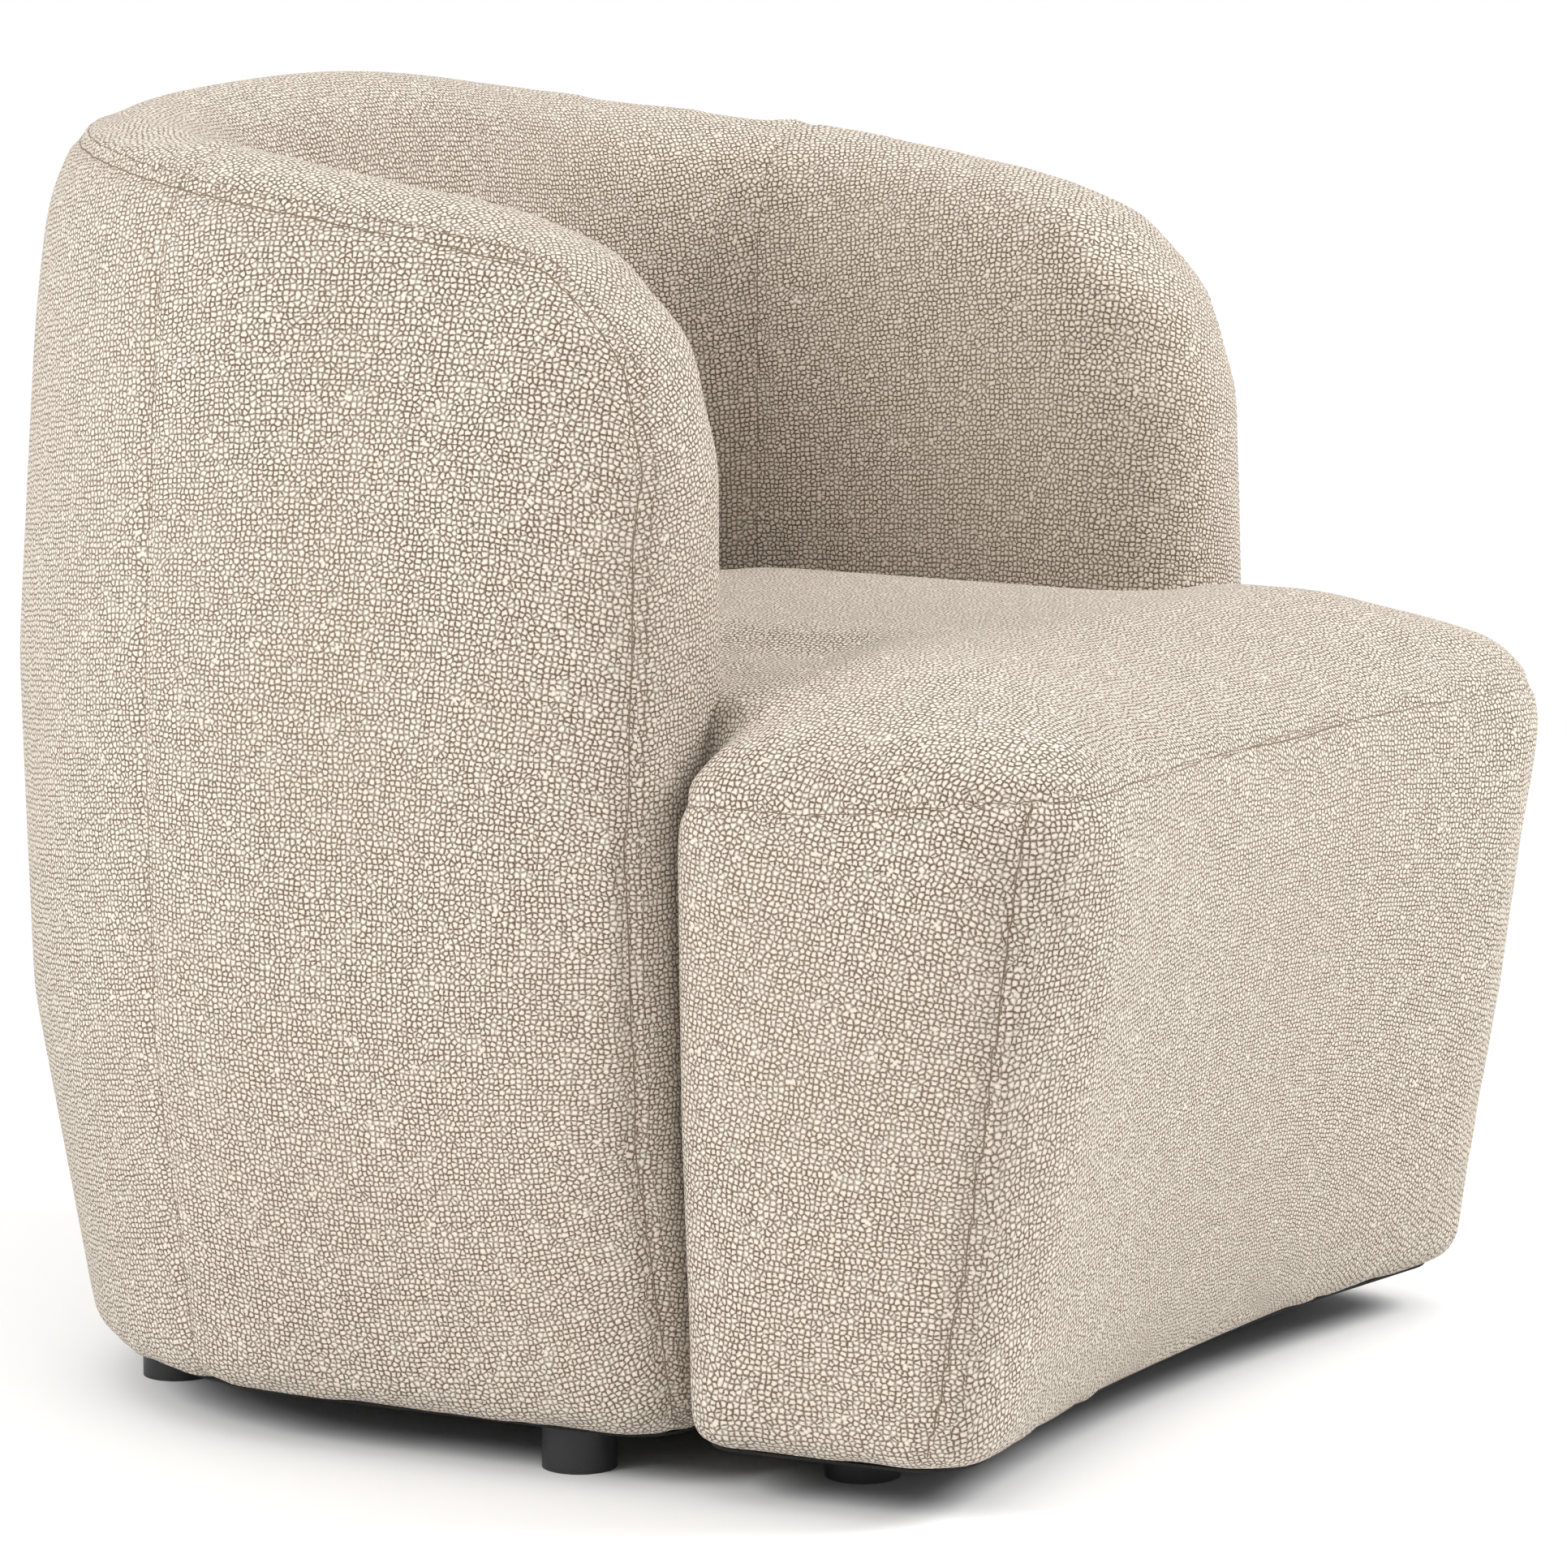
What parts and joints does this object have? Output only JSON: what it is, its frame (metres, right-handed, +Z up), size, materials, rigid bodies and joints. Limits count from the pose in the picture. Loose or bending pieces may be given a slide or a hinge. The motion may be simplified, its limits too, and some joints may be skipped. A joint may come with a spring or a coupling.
{
  "type": "upholstered tub armchair",
  "caption": "Tub armchair in bouclé with a barrel-shaped shell of back and arms round a fixed T-shaped seat block on low round feet.",
  "frame": {"origin": "on the floor, under the centre of the chair's bounding box", "axes": "-Y is the front, +X is the right side as seen from the front, +Z is up"},
  "size_m": [0.7682, 0.7259, 0.7171],
  "materials": {
    "boucle": "looped beige bouclé weave",
    "foam": "open-cell upholstery foam",
    "plywood": "raw birch plywood",
    "hardboard": "raw hardboard",
    "spring_steel": "oiled spring wire",
    "felt": "needled grey felt",
    "dust_cloth": "black non-woven cloth",
    "feet": "black moulded plastic",
    "fixings": "zinc-plated steel"
  },
  "bodies": {
    "root": {"arm_foam_left": "foam", "arm_foam_right": "foam", "arm_post_left": "plywood", "arm_post_right": "plywood", "arm_rib_left": "plywood", "arm_rib_right": "plywood", "back_foam": "foam", "back_rib_left": "plywood", "back_rib_right": "plywood", "corner_rib_left": "plywood", "corner_rib_right": "plywood", "felt_pad": "felt", "foot_arm_left": "feet", "foot_arm_right": "feet", "foot_front_left": "feet", "foot_front_right": "feet", "foot_nails": "fixings", "foot_rear_left": "feet", "foot_rear_right": "feet", "joining_plates": "fixings", "lining_back": "hardboard", "lining_left": "hardboard", "lining_right": "hardboard", "seat_back_rail": "plywood", "seat_base_ring": "plywood", "seat_cover_front": "boucle", "seat_cover_left": "boucle", "seat_cover_right": "boucle", "seat_cover_tail": "boucle", "seat_cover_top": "boucle", "seat_deck_ring": "plywood", "seat_dust_cloth": "dust_cloth", "seat_foam": "foam", "seat_front_rail": "plywood", "seat_rib_left": "plywood", "seat_rib_right": "plywood", "seat_spring_1": "spring_steel", "seat_spring_2": "spring_steel", "seat_spring_3": "spring_steel", "seat_spring_4": "spring_steel", "seat_spring_5": "spring_steel", "seat_wall_foam": "foam", "seat_wing_left": "plywood", "seat_wing_right": "plywood", "shell_base_ring": "plywood", "shell_cover_inner_back": "boucle", "shell_cover_inner_left": "boucle", "shell_cover_inner_right": "boucle", "shell_cover_outer_back": "boucle", "shell_cover_outer_left": "boucle", "shell_cover_outer_right": "boucle", "shell_dust_cloth": "dust_cloth", "shell_middle_ring": "plywood", "shell_top_ring": "plywood", "spring_clips": "spring_steel"}
  },
  "joints": []
}
